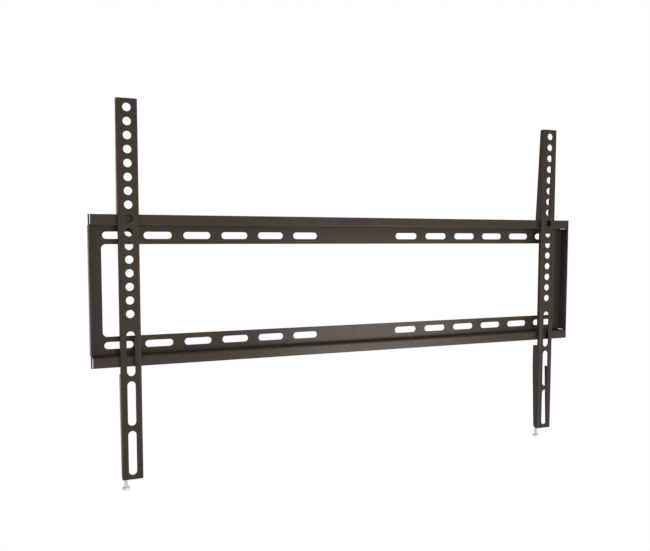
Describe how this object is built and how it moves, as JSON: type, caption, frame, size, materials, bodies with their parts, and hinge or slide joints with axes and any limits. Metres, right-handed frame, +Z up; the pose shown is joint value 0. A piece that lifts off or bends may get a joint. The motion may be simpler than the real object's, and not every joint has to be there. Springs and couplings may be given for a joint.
{
  "type": "tv wall mount",
  "caption": "Fixed low-profile wall mount for a flat television: folded slotted wall plate, hook-on channel brackets with holes and slots, and long security screws.",
  "frame": {"origin": "centre of the wall slots' pattern, on the face of the wall plate that lies against the wall", "axes": "+X to the viewer's right along the plate, +Y into the wall, +Z up"},
  "size_m": [0.66, 0.022, 0.4349],
  "materials": {
    "powder_coat": "warm black powder coat, fine orange peel, satin",
    "zinc_plate": "bright zinc plate"
  },
  "bodies": {
    "wall_plate": {"wall_plate": "powder_coat"},
    "left_bracket": {"left_tv_bracket": "powder_coat"},
    "right_bracket": {"right_tv_bracket": "powder_coat"},
    "left_screw": {"left_security_screw": "zinc_plate"},
    "right_screw": {"right_security_screw": "zinc_plate"}
  },
  "joints": [
    {"name": "left_bracket_slide", "type": "slide", "parent": "wall_plate", "child": "left_bracket", "axis": [1, 0, 0], "range_m": [-0.0275, 0.27]},
    {"name": "right_bracket_slide", "type": "slide", "parent": "wall_plate", "child": "right_bracket", "axis": [1, 0, 0], "range_m": [-0.27, 0.0275]},
    {"name": "left_screw_drive", "type": "slide", "parent": "left_bracket", "child": "left_screw", "axis": [0, 0, 1], "range_m": [0, 0.0078]},
    {"name": "right_screw_drive", "type": "slide", "parent": "right_bracket", "child": "right_screw", "axis": [0, 0, 1], "range_m": [0, 0.0078]}
  ]
}
